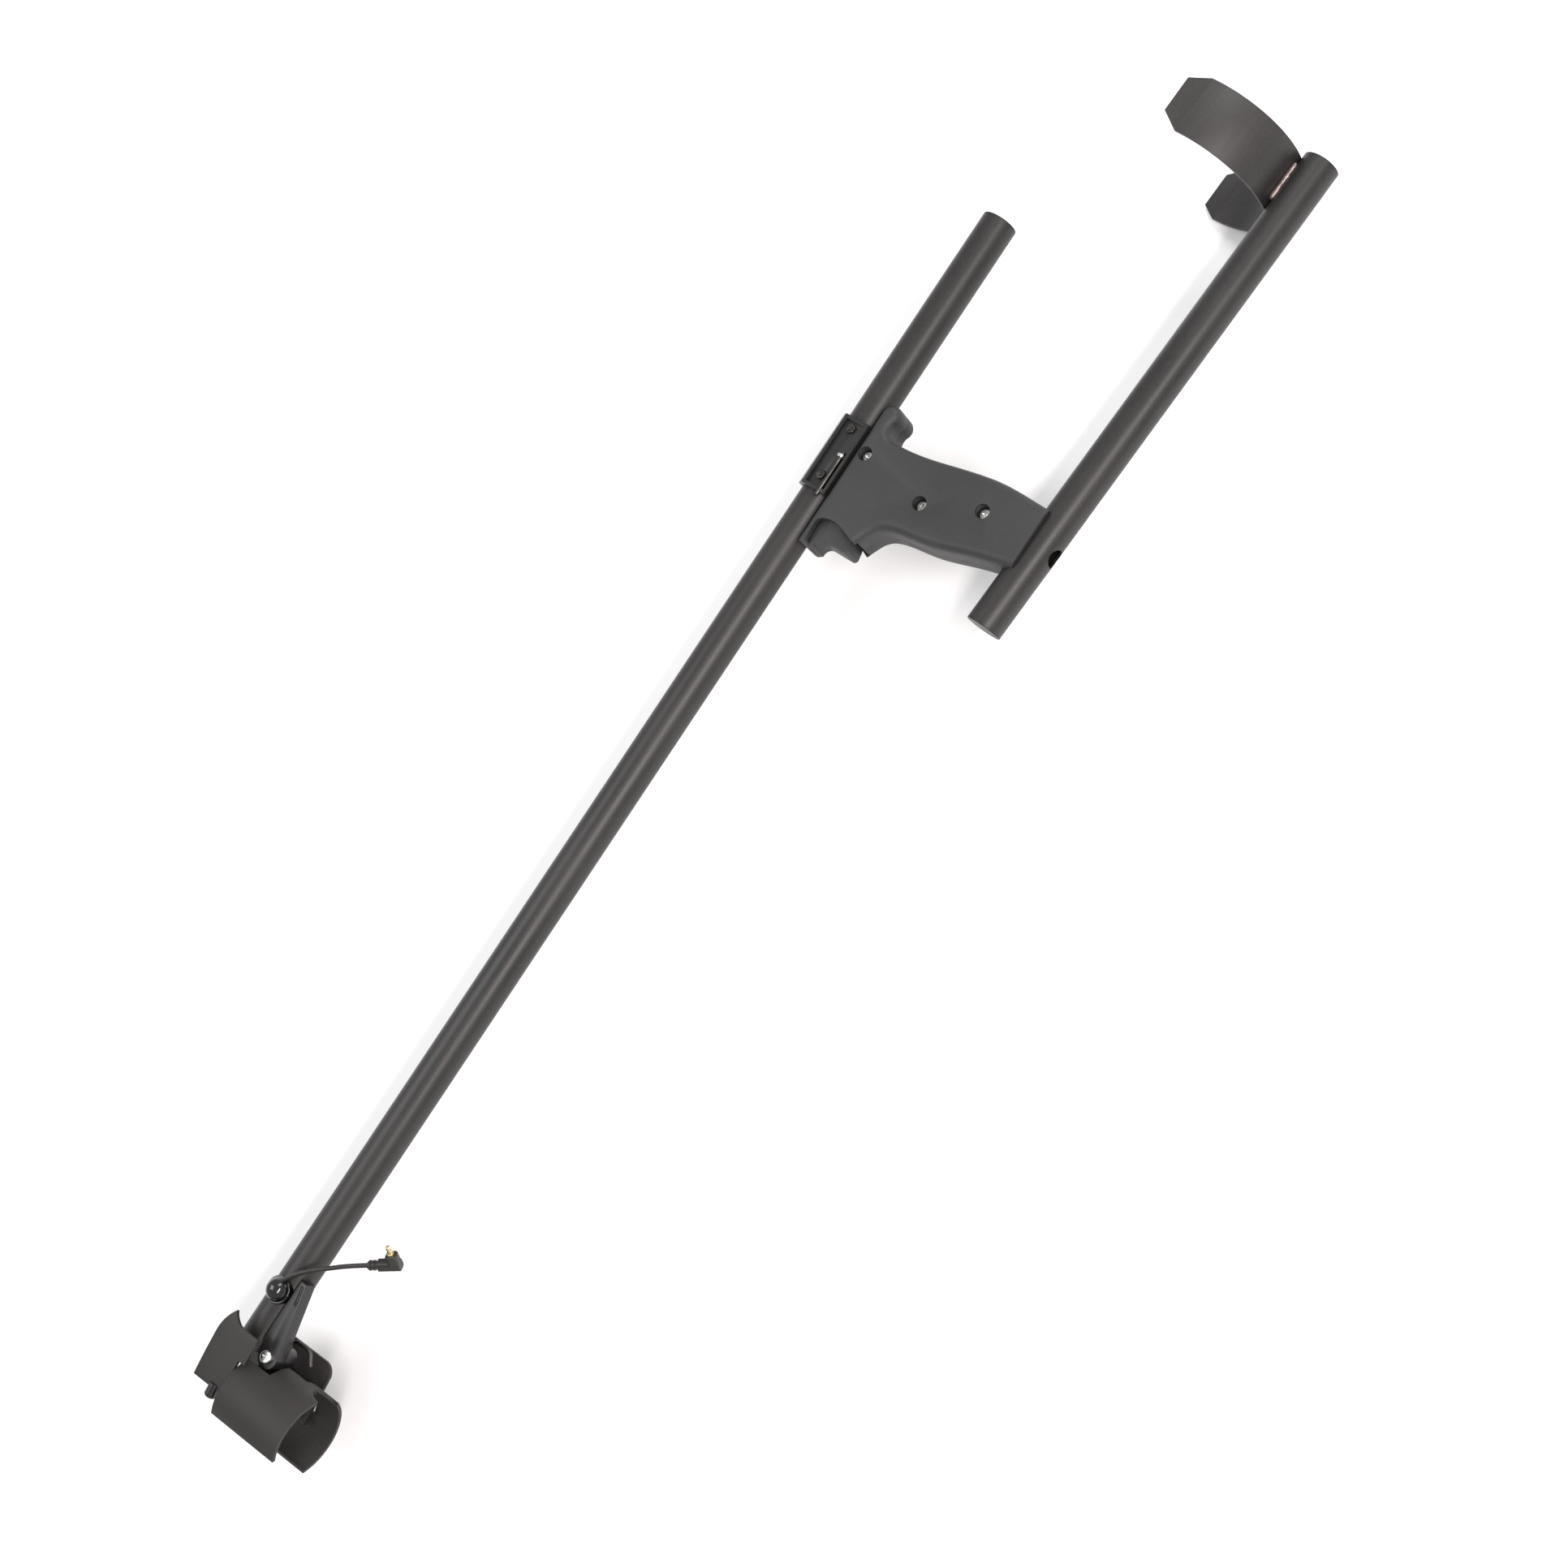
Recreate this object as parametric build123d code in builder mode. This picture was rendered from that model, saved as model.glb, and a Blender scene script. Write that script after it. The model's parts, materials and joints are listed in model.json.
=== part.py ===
from build123d import *
import os
from math import cos, radians, sin, tan

# Arm-braced carrying pole of a metal detector, lying on its side. Millimetres.
# +X runs along the main tube to its rear end, +Y from the arm tube to the main tube, +Z up.
# The origin is the centre of the main tube's rear end.

# Clearances
PRESS = 0.02          # radial, between parts that stay together
RUN = 0.05            # radial, a pin in its bearing
FREE = 0.1            # between parts that only meet

# Tubes
TUBE_R = 12.7
TUBE_WALL = 1.6
TUBE_BORE = TUBE_R - TUBE_WALL
MAIN_LENGTH = 907.0
PLUG_RIM = 1.6
PLUG_DEPTH = 14.0

# Arm tube: it crosses the grip's axis at ARM_X, ARM_Y and leans away from the main tube
ARM_X = -180.0
ARM_Y = -160.9
ARM_LEAN = 2.8
ARM_REAR = 301.6
ARM_FRONT = -60.3
ACCESS_R = 6.5

# Forearm cuff
CUFF_R = 57.0         # outside
CUFF_SHEET = 2.0
CUFF_WIDTH = 40.0
CUFF_AT = 280.0
LIP_LENGTH = 13.0
LIP_TAPER = 7.6
LIP_FLARE = 18.0
WELD_R = 3.0
WELD_LENGTH = 27.0

# Pistol grip
GRIP_HALF = 16.0
GRIP_TOP = -TUBE_R - 0.3
GRIP_EDGE = 6.0
CAVITY_HALF = GRIP_HALF - 4.5
BOSS_R = 7.0
POCKET_R = 5.1
POCKET_FLOOR = 7.0
GRIP_SCREWS = ((-182.7, -21.5), (-194.1, -76.8), (-178.7, -118.7))
SCREW_R = 1.9
SCREW_HEAD_R = 3.6

# Trigger
PIVOT = (-229.0, -23.5)
PIVOT_R = 1.5
TRIGGER_HALF = CAVITY_HALF - 1.0

# Clamp bracket over the main tube at the grip
BRACKET_REAR = -165.0
BRACKET_FRONT = -220.0
BRACKET_TOP = TUBE_R + 1.9
BRACKET_HALF = TUBE_R + 4.3
RECESS_FLOOR = TUBE_R + 0.9
BRACKET_WALL = 2.6
BRACKET_SCREWS = (-172.5, -209.0)
RECESS_SCREW_Y = -1.0
SMALL_SCREW_R = 1.5
ROD_Y = -7.2
ROD_Z = RECESS_FLOOR + 2.0
ROD_R = 1.7

# Front end of the main tube, and the hinge arm on its lower near side
FRONT = -MAIN_LENGTH
DOME_X = FRONT + 42.0
DOME_R = 9.0
DOME_STEM_R = 4.0
HINGE = (FRONT + 4.0, -TUBE_R - 9.3)
HINGE_R = 2.0
HINGE_ARM_NEAR = TUBE_R + 0.8    # z of the arm's near face
HINGE_ARM_FAR = HINGE_ARM_NEAR - 10.5
HINGE_ARM_END_R = 8.0
LEAD_R = 1.6

# Cradle, in its own upright frame; CRADLE_TILT turns it about the hinge
CRADLE_TILT = 6.0
CRADLE_X = FRONT - 27.5
CLIP_R = 30.0                    # outside
CLIP_SHEET = 2.4
CLIP_TOP = -11.5
CLIP_END = -71.5
NEAR_MOUTH = 57.0                # from straight ahead to the near lip
FAR_MOUTH = 32.0
CLIP_NOTCH_R = 12.0
CHEEK_TOP = 16.0
CHEEK_END = -49.5
CHEEK_SHEET = 2.4
CHEEK_SEAT = 7.0                 # how far behind CRADLE_X the cheeks lie inside the clip
KNUCKLE_R = 7.0
KNUCKLE_NEAR = HINGE_ARM_FAR - 0.3
KNUCKLE_FAR = KNUCKLE_NEAR - 13.2
SPINE_X = HINGE[0] - HINGE_ARM_END_R - 0.6    # the spine plate's rear face
SPINE_SHEET = 3.9
RIVET_R = 1.6
RIVETS = ((CRADLE_X + 2.0, -26.0), (CRADLE_X + 2.0, -43.0))

os.makedirs("parts", exist_ok=True)


def save(part, name):
    part.label = name
    export_step(part, f"parts/{name}.step")


# ---------- planes ----------

def across(x):
    """The plane square to the main tube at x: its x is -Z and its y is +Y."""
    return Plane(origin=(x, 0, 0), x_dir=(0, 0, -1), z_dir=(1, 0, 0))


def arm_point(along, up=0.0):
    """A point of the arm tube's own frame, in the model's frame."""
    lean = radians(ARM_LEAN)
    x = ARM_X + along * cos(lean) + up * sin(lean)
    y = ARM_Y - along * sin(lean) + up * cos(lean)
    return (x, y, 0)


def arm_across(along):
    """The plane square to the arm tube: its x is -Z, its y points at the main tube."""
    lean = radians(ARM_LEAN)
    return Plane(origin=arm_point(along), x_dir=(0, 0, -1), z_dir=(cos(lean), -sin(lean), 0))


def arm_radial(along, up):
    """A plane facing from the arm tube to the main tube, at a height above the tube's axis."""
    lean = radians(ARM_LEAN)
    return Plane(origin=arm_point(along, up), x_dir=(0, 0, 1), z_dir=(sin(lean), cos(lean), 0))


def facing_y(x, y, z=0.0):
    """A plane whose normal is +Y."""
    return Plane(origin=(x, y, z), x_dir=(0, 0, 1), z_dir=(0, 1, 0))


# ---------- tubes and their plugs ----------

def make_main_tube():
    with BuildPart() as tube:
        with BuildSketch(across(FRONT)):
            Circle(TUBE_R)
            Circle(TUBE_BORE, mode=Mode.SUBTRACT)
        extrude(amount=MAIN_LENGTH)
        # the grommet's hole and the holes of the bracket's screws
        with BuildSketch(Plane.XY):
            with Locations((DOME_X, 0)):
                Circle(DOME_STEM_R)
            with Locations(*[(x, RECESS_SCREW_Y) for x in BRACKET_SCREWS]):
                Circle(SMALL_SCREW_R + PRESS)
        extrude(amount=TUBE_R + 1, mode=Mode.SUBTRACT)
        with BuildSketch(Plane.XZ):
            with Locations(*[(x, 0) for x in BRACKET_SCREWS]):
                Circle(SMALL_SCREW_R + PRESS)
        extrude(amount=-TUBE_R - 1, mode=Mode.SUBTRACT)
    return tube.part


def make_plug(plane):
    """A push-in end plug: its rim is outside the tube's end and its stem inside."""
    with BuildPart() as plug:
        with BuildSketch(plane):
            Circle(TUBE_R)
        extrude(amount=PLUG_RIM)
        fillet(plug.faces().sort_by(Axis(plane.origin, plane.z_dir))[-1].edges(), 0.7)
        with BuildSketch(plane):
            Circle(TUBE_BORE - PRESS)
            Circle(TUBE_BORE - 2.5, mode=Mode.SUBTRACT)
        extrude(amount=-PLUG_DEPTH)
    return plug.part


def make_arm_tube():
    with BuildPart() as tube:
        with BuildSketch(arm_across(ARM_FRONT)):
            Circle(TUBE_R)
            Circle(TUBE_BORE, mode=Mode.SUBTRACT)
        extrude(amount=ARM_REAR - ARM_FRONT)
        # the screwdriver's access hole on the far side from the grip, and the screw's own hole
        with BuildSketch(arm_radial(0, 0)):
            Circle(ACCESS_R)
        extrude(amount=-TUBE_R - 1, mode=Mode.SUBTRACT)
        with BuildSketch(arm_radial(0, 0)):
            Circle(2.5 + PRESS)
        extrude(amount=TUBE_R + 1, mode=Mode.SUBTRACT)
    return tube.part


# ---------- forearm cuff ----------

CUFF_UP = TUBE_R + CUFF_R + PRESS


def make_cuff():
    lean = radians(ARM_LEAN)
    along = Vector(cos(lean), -sin(lean), 0)
    flare = radians(LIP_FLARE)
    with BuildPart() as cuff:
        with BuildSketch(arm_across(CUFF_AT - CUFF_WIDTH / 2)):
            with Locations((0, CUFF_UP)):
                Circle(CUFF_R)
                Circle(CUFF_R - CUFF_SHEET, mode=Mode.SUBTRACT)
                Rectangle(3 * CUFF_R, 2 * CUFF_R, align=(Align.CENTER, Align.MIN),
                          mode=Mode.SUBTRACT)
        extrude(amount=CUFF_WIDTH)
        for side in (1, -1):
            foot = Vector(*arm_point(CUFF_AT, CUFF_UP)) + Vector(0, 0, side * (CUFF_R - CUFF_SHEET / 2))
            up = Vector(sin(lean) * cos(flare), cos(lean) * cos(flare), side * sin(flare))
            with BuildSketch(Plane(origin=foot, x_dir=along, z_dir=along.cross(up))):
                half = CUFF_WIDTH / 2
                with BuildLine():
                    Polyline((-half, -0.3), (half, -0.3), (half, 0), (half - LIP_TAPER, LIP_LENGTH),
                             (LIP_TAPER - half, LIP_LENGTH), (-half, 0), close=True)
                make_face()
            extrude(amount=CUFF_SHEET / 2, both=True)
    return cuff.part


def make_weld_beads():
    """Two fillet welds that run along the tube, one on each side of the cuff's foot."""
    with BuildPart() as beads:
        with BuildSketch(arm_across(CUFF_AT - WELD_LENGTH / 2)):
            with Locations((6.4, TUBE_R - 0.6), (-6.4, TUBE_R - 0.6)):
                Circle(WELD_R)
        extrude(amount=WELD_LENGTH)
        with BuildSketch(arm_across(CUFF_AT - WELD_LENGTH / 2)):
            Circle(TUBE_R)
            with Locations((0, CUFF_UP)):
                Circle(CUFF_R)
        extrude(amount=WELD_LENGTH, mode=Mode.SUBTRACT)
    return beads.part


# ---------- pistol grip ----------

GRIP_END = ARM_Y + 3.6


def grip_outline():
    """The grip's side view, from the hook before the trigger round the horn and the handle."""
    with BuildLine() as line:
        Line((-253.0, GRIP_TOP), (-151.4, GRIP_TOP))
        ThreePointArc((-151.4, GRIP_TOP), (-144.6, -17.8), (-154.7, -26.6))
        ThreePointArc((-154.7, -26.6), (-162.5, -26.9), (-166.3, -33.7))
        Spline((-166.3, -33.7), (-164.9, -58.0), (-160.0, -86.0), (-156.0, -112.0),
               (-156.8, GRIP_END), tangents=((0, -1), (-0.05, -1)))
        Line((-156.8, GRIP_END), (-201.5, GRIP_END))
        Spline((-201.5, GRIP_END), (-207.2, -129.0), (-215.0, -98.0), (-217.6, -76.0),
               (-223.0, -60.5), (-238.4, -51.4), tangents=((-0.2, 1), (-1, 0.5)))
        Line((-238.4, -51.4), (-236.4, -46.6))
        Spline((-236.4, -46.6), (-232.4, -33.0), (-233.8, -22.0), (-238.5, -18.2),
               tangents=((0.3, 1), (-1, 0.1)))
        Line((-238.5, -18.2), (-251.0, -18.8))
        ThreePointArc((-251.0, -18.8), (-254.6, -16.4), (-253.0, GRIP_TOP))
    return line


def grip_cavity():
    """The hollow between the shells: the trigger's bay, then the handle."""
    with BuildSketch() as hollow:
        with BuildLine():
            Polyline((-240.5, -52.4), (-240.5, -18.2), (-236.0, -17.4), (-172.0, -17.4),
                     (-172.0, -48.0), (-168.6, -76.0), (-162.4, -104.0), (-161.6, -139.0),
                     (-198.6, -139.0), (-205.5, -110.0), (-211.0, -84.0), (-212.5, -60.0),
                     (-219.0, -52.4), close=True)
        make_face()
    return hollow.sketch


def make_grip_shell(side):
    """One shell; side is 1 for the near one and -1 for the far one."""
    outline = grip_outline()
    with BuildPart() as shell:
        with BuildSketch(Plane.XY):
            add(outline.line)
            make_face()
        extrude(amount=side * GRIP_HALF)
        rims = shell.edges().filter_by(
            lambda e: abs(e.center().Z - side * GRIP_HALF) < 0.01
            and e.center().X > -225
            and -150 < e.center().Y < -16
        )
        fillet(rims, GRIP_EDGE)
        with BuildSketch(Plane.XY):
            add(grip_cavity())
        extrude(amount=side * CAVITY_HALF, mode=Mode.SUBTRACT)
        # bosses round the three screws, and a rib that seats the trigger's spring and switch
        with BuildSketch(Plane.XY):
            with Locations(*GRIP_SCREWS):
                Circle(BOSS_R)
        extrude(amount=side * (CAVITY_HALF + 1))
        with BuildSketch(Plane.XY):
            with Locations((-208.5, -33.0)):
                Rectangle(3.0, 32.0)
            with Locations((-179.5, -134.5)):
                Rectangle(30.0, 9.0)
        extrude(amount=side * (CAVITY_HALF + 1))
        # the lug of the bracket, between the shells
        with BuildSketch(Plane.XY):
            with Locations((LUG_X, LUG_BOTTOM - PRESS)):
                Rectangle(LUG_LENGTH + 0.2, GRIP_TOP - LUG_BOTTOM + 1,
                          align=(Align.CENTER, Align.MIN))
        extrude(amount=side * (LUG_HALF + 0.1), mode=Mode.SUBTRACT)
        # screw holes and their pockets
        with BuildSketch(Plane.XY):
            with Locations(*GRIP_SCREWS):
                Circle(SCREW_R + (0.2 if side > 0 else PRESS))
        extrude(amount=side * (GRIP_HALF + 1 if side > 0 else CAVITY_HALF), mode=Mode.SUBTRACT)
        if side > 0:
            with BuildSketch(Plane.XY.offset(POCKET_FLOOR)):
                with Locations(*GRIP_SCREWS):
                    Circle(POCKET_R)
            extrude(amount=GRIP_HALF, mode=Mode.SUBTRACT)
        # the trigger pin's bearing
        with BuildSketch(Plane.XY):
            with Locations(PIVOT):
                Circle(PIVOT_R + PRESS)
        extrude(amount=side * (CAVITY_HALF + 2.6), mode=Mode.SUBTRACT)
        # the nut's seat and the end screw's hole, then the saddle that straddles the arm tube
        with BuildSketch(arm_radial(0, 0)):
            Circle(2.5 + 0.2)
        extrude(amount=36, mode=Mode.SUBTRACT)
        with BuildSketch(arm_radial(0, NUT_UP)):
            Rectangle(NUT_SIDE + 2 * PRESS, NUT_SIDE + 2 * PRESS)
        extrude(amount=NUT_HEIGHT, mode=Mode.SUBTRACT)
        with BuildSketch(arm_across(ARM_FRONT)):
            Circle(TUBE_R + 0.1)
        extrude(amount=ARM_REAR, mode=Mode.SUBTRACT)
    return shell.part


def make_grip_screws():
    with BuildPart() as screws:
        with BuildSketch(Plane.XY.offset(-CAVITY_HALF + 0.5)):
            with Locations(*GRIP_SCREWS):
                Circle(SCREW_R)
        extrude(amount=CAVITY_HALF - 0.5 + POCKET_FLOOR)
        with BuildSketch(Plane.XY.offset(POCKET_FLOOR)):
            with Locations(*GRIP_SCREWS):
                Circle(SCREW_HEAD_R)
        extrude(amount=2.6)
        with BuildSketch(Plane.XY.offset(POCKET_FLOOR + 1.2)):
            with Locations(*GRIP_SCREWS):
                Rectangle(4.6, 1.0)
                Rectangle(1.0, 4.6)
        extrude(amount=3, mode=Mode.SUBTRACT)
    return screws.part


NUT_UP = 24.0
NUT_SIDE = 8.0
NUT_HEIGHT = 4.2


def make_grip_end_screw():
    """It goes from inside the arm tube into the square nut that the shells hold."""
    seat = TUBE_BORE - 1.0
    with BuildPart() as screw:
        with BuildSketch(arm_radial(0, seat - 3.0)):
            Circle(4.6)
        extrude(amount=3.0)
        with BuildSketch(arm_radial(0, seat - 3.0)):
            Circle(2.5)
        extrude(amount=NUT_UP + NUT_HEIGHT + 2 - seat + 3.0)
        with BuildSketch(arm_radial(0, seat - 3.0)):
            RegularPolygon(2.0, 6)
        extrude(amount=1.8, mode=Mode.SUBTRACT)
    return screw.part


def make_grip_end_nut():
    with BuildPart() as nut:
        with BuildSketch(arm_radial(0, NUT_UP)):
            Rectangle(NUT_SIDE, NUT_SIDE)
            Circle(2.5 + PRESS, mode=Mode.SUBTRACT)
        extrude(amount=NUT_HEIGHT - 0.1)
    return nut.part


# ---------- trigger ----------

def make_trigger():
    with BuildPart() as trigger:
        with BuildSketch(Plane.XY):
            with BuildLine():
                Polyline((-238.6, -18.9), (-247.0, -19.4), (-252.6, -20.6))
                ThreePointArc((-252.6, -20.6), (-253.6, -22.2), (-251.8, -23.4))
                ThreePointArc((-251.8, -23.4), (-247.6, -25.2), (-246.0, -30.0))
                Line((-246.0, -30.0), (-246.2, -45.6))
                ThreePointArc((-246.2, -45.6), (-245.0, -47.4), (-243.0, -47.9))
                Polyline((-243.0, -47.9), (-237.6, -46.8), (-229.4, -43.6), (-225.4, -31.0),
                         (-225.4, -21.6), (-229.0, -19.6), (-238.6, -18.9))
            make_face()
            with Locations(PIVOT):
                Circle(PIVOT_R + RUN, mode=Mode.SUBTRACT)
        extrude(amount=TRIGGER_HALF, both=True)
    return trigger.part


def make_trigger_pin():
    with BuildPart() as pin:
        with BuildSketch(Plane.XY):
            with Locations(PIVOT):
                Circle(PIVOT_R)
        extrude(amount=CAVITY_HALF + 2.5, both=True)
    return pin.part


SPRING_Y = -29.0
SPRING_REAR = -210.0
SPRING_FRONT = -225.2


def make_trigger_spring():
    length = SPRING_REAR - SPRING_FRONT - 0.9
    start = Plane(origin=(SPRING_FRONT + 0.45, SPRING_Y, 0), x_dir=(0, 1, 0), z_dir=(1, 0, 0))
    coil = start * Helix(pitch=length / 6, height=length, radius=2.6)
    with BuildPart() as spring:
        with BuildSketch(Plane(origin=coil @ 0, z_dir=coil % 0)):
            Circle(0.4)
        sweep(path=coil)
    return spring.part


def make_micro_switch():
    """A lever-less switch behind the trigger, with its plunger and two tags."""
    with BuildPart() as switch:
        with BuildSketch(Plane.XY):
            with Locations((-213.6, -41.0)):
                Rectangle(7.0, 14.0)
        extrude(amount=3.2, both=True)
        with BuildSketch(Plane(origin=(-217.0, -38.0, 0), x_dir=(0, 1, 0), z_dir=(-1, 0, 0))):
            Circle(1.2)
        extrude(amount=6.4)
    return switch.part


# ---------- clamp bracket ----------

LUG_X = -182.7
LUG_LENGTH = 15.0
LUG_BOTTOM = -29.0
LUG_HALF = 4.0


def make_bracket():
    length = BRACKET_REAR - BRACKET_FRONT
    middle = (BRACKET_REAR + BRACKET_FRONT) / 2
    with BuildPart() as bracket:
        with BuildSketch(across(BRACKET_FRONT)):
            with BuildLine():
                half, top, foot = BRACKET_HALF, BRACKET_TOP, GRIP_TOP + FREE
                Polyline((-half, foot), (half, foot), (half, top - 7.2), (half - 10.0, top),
                         (10.0 - half, top), (-half, top - 7.2), close=True)
            make_face()
            Circle(TUBE_R + PRESS, mode=Mode.SUBTRACT)
        extrude(amount=length)
        # the framed recess on the near face
        with BuildSketch(Plane.XY.offset(RECESS_FLOOR)):
            with Locations((middle, -2.8)):
                Rectangle(length - 2 * BRACKET_WALL, 15.6)
        extrude(amount=BRACKET_HALF, mode=Mode.SUBTRACT)
        # the lug that the grip's first screw goes through
        with BuildSketch(Plane.XY):
            with Locations((LUG_X, LUG_BOTTOM)):
                Rectangle(LUG_LENGTH, GRIP_TOP + 0.2 - LUG_BOTTOM,
                          align=(Align.CENTER, Align.MIN))
            with Locations(GRIP_SCREWS[0]):
                Circle(SCREW_R + 0.2, mode=Mode.SUBTRACT)
        extrude(amount=LUG_HALF, both=True)
        # screw holes on the top and in the recess, and the rod's hole in the front wall
        with BuildSketch(Plane.XY):
            with Locations(*[(x, RECESS_SCREW_Y) for x in BRACKET_SCREWS]):
                Circle(SMALL_SCREW_R + PRESS)
        extrude(amount=BRACKET_HALF, mode=Mode.SUBTRACT)
        with BuildSketch(Plane.XZ):
            with Locations(*[(x, 0) for x in BRACKET_SCREWS]):
                Circle(SMALL_SCREW_R + PRESS)
        extrude(amount=-BRACKET_TOP - 1, mode=Mode.SUBTRACT)
        with BuildSketch(across(BRACKET_FRONT - 1)):
            with Locations((-ROD_Z, ROD_Y)):
                Circle(ROD_R + RUN)
        extrude(amount=BRACKET_WALL + 2, mode=Mode.SUBTRACT)
    return bracket.part


def make_bracket_top_screws():
    with BuildPart() as screws:
        for x in BRACKET_SCREWS:
            with BuildSketch(facing_y(x, TUBE_BORE - 1.5)):
                Circle(SMALL_SCREW_R)
            extrude(amount=BRACKET_TOP - TUBE_BORE + 1.5)
            with BuildSketch(facing_y(x, BRACKET_TOP)):
                Circle(3.4)
            extrude(amount=2.8, taper=14)
    return screws.part


def make_bracket_recess_screws():
    with BuildPart() as screws:
        for x in BRACKET_SCREWS:
            with BuildSketch(Plane.XY.offset(TUBE_BORE - 1.5)):
                with Locations((x, RECESS_SCREW_Y)):
                    Circle(SMALL_SCREW_R)
            extrude(amount=RECESS_FLOOR - TUBE_BORE + 5.0)
            with BuildSketch(Plane.XY.offset(RECESS_FLOOR)):
                with Locations((x, RECESS_SCREW_Y)):
                    RegularPolygon(3.4, 6)
            extrude(amount=2.2)
    return screws.part


ROD_FRONT = BRACKET_FRONT - 2.5
ROD_REAR = -189.0
COLLAR_X = -193.0


def make_slide_rod():
    with BuildPart() as rod:
        with BuildSketch(across(ROD_FRONT)):
            with Locations((-ROD_Z, ROD_Y)):
                Circle(ROD_R)
        extrude(amount=ROD_REAR - ROD_FRONT)
        fillet(rod.edges().filter_by(GeomType.CIRCLE), 0.4)
    return rod.part


def make_rod_collar():
    with BuildPart() as collar:
        with BuildSketch(across(COLLAR_X)):
            with Locations((-ROD_Z - 0.9, ROD_Y)):
                Circle(2.7)
            with Locations((-ROD_Z, ROD_Y)):
                Circle(ROD_R + PRESS, mode=Mode.SUBTRACT)
        extrude(amount=2.2)
    return collar.part


# ---------- cable grommet, lead and plug ----------

# from the top of the dome, down the tube's near side, to the plug
LEAD_POINTS = (
    (DOME_X + 3.5, 2.0, TUBE_R + 3.8),
    (DOME_X + 13.5, -4.0, TUBE_R + 4.3),
    (DOME_X + 24.0, -TUBE_R, TUBE_R + 4.1),
    (DOME_X + 34.5, -TUBE_R - 11.8, TUBE_R + 2.7),
    (DOME_X + 44.2, -TUBE_R - 22.1, TUBE_R - 0.7),
    (DOME_X + 52.4, -TUBE_R - 32.9, TUBE_R - 2.3),
)
PLUG_TIP_DIR = (0.56, 0.32, 0.765)
STRAIN_LENGTH = 8.0
PLUG_LENGTH = 16.0
PLUG_HALF = 4.1


def lead_route():
    """The lead's centreline, and each bend's radius."""
    points = [Vector(*p) for p in LEAD_POINTS]
    radii = []
    for a, b, c in zip(points, points[1:], points[2:]):
        turn = (b - a).get_angle(c - b)
        radii.append(0.45 * min((b - a).length, (c - b).length) / tan(radians(turn / 2)))
    with BuildLine() as route:
        FilletPolyline(*points, radius=radii)
    print("lead: length", round(route.wire().length, 1), "radii", [round(r, 1) for r in radii])
    return route.wire()


def lead_start():
    first, second = Vector(*LEAD_POINTS[0]), Vector(*LEAD_POINTS[1])
    return Plane(origin=first, z_dir=second - first)


def plug_plane(offset=0.0):
    """The plane square to the plug's body; its x points the way the tip does."""
    before, end = Vector(*LEAD_POINTS[-2]), Vector(*LEAD_POINTS[-1])
    along = (end - before).normalized()
    return Plane(origin=end + along * offset, x_dir=PLUG_TIP_DIR, z_dir=along)


def make_grommet():
    """The domed rubber cap over the hole where the lead leaves the tube."""
    with BuildPart() as dome:
        with BuildSketch(Plane.XY.offset(TUBE_R - 3.7)):
            with Locations((DOME_X, 0)):
                Circle(DOME_R + 0.6)
        extrude(amount=5.6)
        fillet(dome.faces().sort_by(Axis.Z)[-1].edges(), 0.8)
        with Locations((DOME_X, 0, TUBE_R + 0.9)):
            Sphere(DOME_R - 0.6)
        with BuildSketch(across(FRONT)):
            Circle(TUBE_R + PRESS)
        extrude(amount=MAIN_LENGTH, mode=Mode.SUBTRACT)
        with BuildSketch(Plane.XY.offset(TUBE_BORE - 1.2)):
            with Locations((DOME_X, 0)):
                Circle(DOME_STEM_R - PRESS)
        extrude(amount=3.0)
        with BuildSketch(lead_start()):
            Circle(LEAD_R + PRESS)
        extrude(amount=12, mode=Mode.SUBTRACT)
    return dome.part


def make_lead():
    route = lead_route()
    with BuildPart() as lead:
        with BuildSketch(Plane(origin=route @ 0, z_dir=route % 0)):
            Circle(LEAD_R)
        sweep(path=route)
    return lead.part


def make_strain_relief():
    with BuildPart() as relief:
        with BuildSketch(plug_plane()):
            Circle(2.5)
        extrude(amount=STRAIN_LENGTH)
        for step in (1.2, 4.2):
            with BuildSketch(plug_plane(step)):
                Circle(3.5)
            extrude(amount=1.6)
    return relief.part


def make_plug_body():
    corner = plug_plane(STRAIN_LENGTH + PLUG_LENGTH - PLUG_HALF)
    rise = corner.x_dir
    with BuildPart() as body:
        with BuildSketch(plug_plane(STRAIN_LENGTH)):
            RectangleRounded(2 * PLUG_HALF - 0.6, 2 * PLUG_HALF - 0.8, 2.4)
        extrude(amount=PLUG_LENGTH)
        with BuildSketch(Plane(origin=corner.origin, x_dir=corner.z_dir, z_dir=rise)):
            RectangleRounded(2 * PLUG_HALF, 2 * PLUG_HALF - 0.6, 2.4)
        extrude(amount=9.5)
        fillet(body.faces().sort_by(Axis(corner.origin, corner.z_dir))[-1].edges(), 0.8)
    return body.part


def make_plug_tip():
    corner = plug_plane(STRAIN_LENGTH + PLUG_LENGTH - PLUG_HALF)
    rise = corner.x_dir

    def at(height):
        return Plane(origin=corner.origin + rise * height, x_dir=corner.z_dir, z_dir=rise)

    with BuildPart() as tip:
        with BuildSketch(at(9.5)):
            Circle(2.4)
        extrude(amount=1.0)
        with BuildSketch(at(10.5)):
            Circle(1.7)
        extrude(amount=6.5)
        with BuildSketch(at(14.3)):
            Circle(1.75)
            Circle(1.45, mode=Mode.SUBTRACT)
        extrude(amount=0.5, mode=Mode.SUBTRACT)
        fillet(tip.faces().sort_by(Axis(corner.origin, rise))[-1].edges(), 0.8)
    return tip.part


# ---------- hinge arm under the tube's front end ----------

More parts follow.
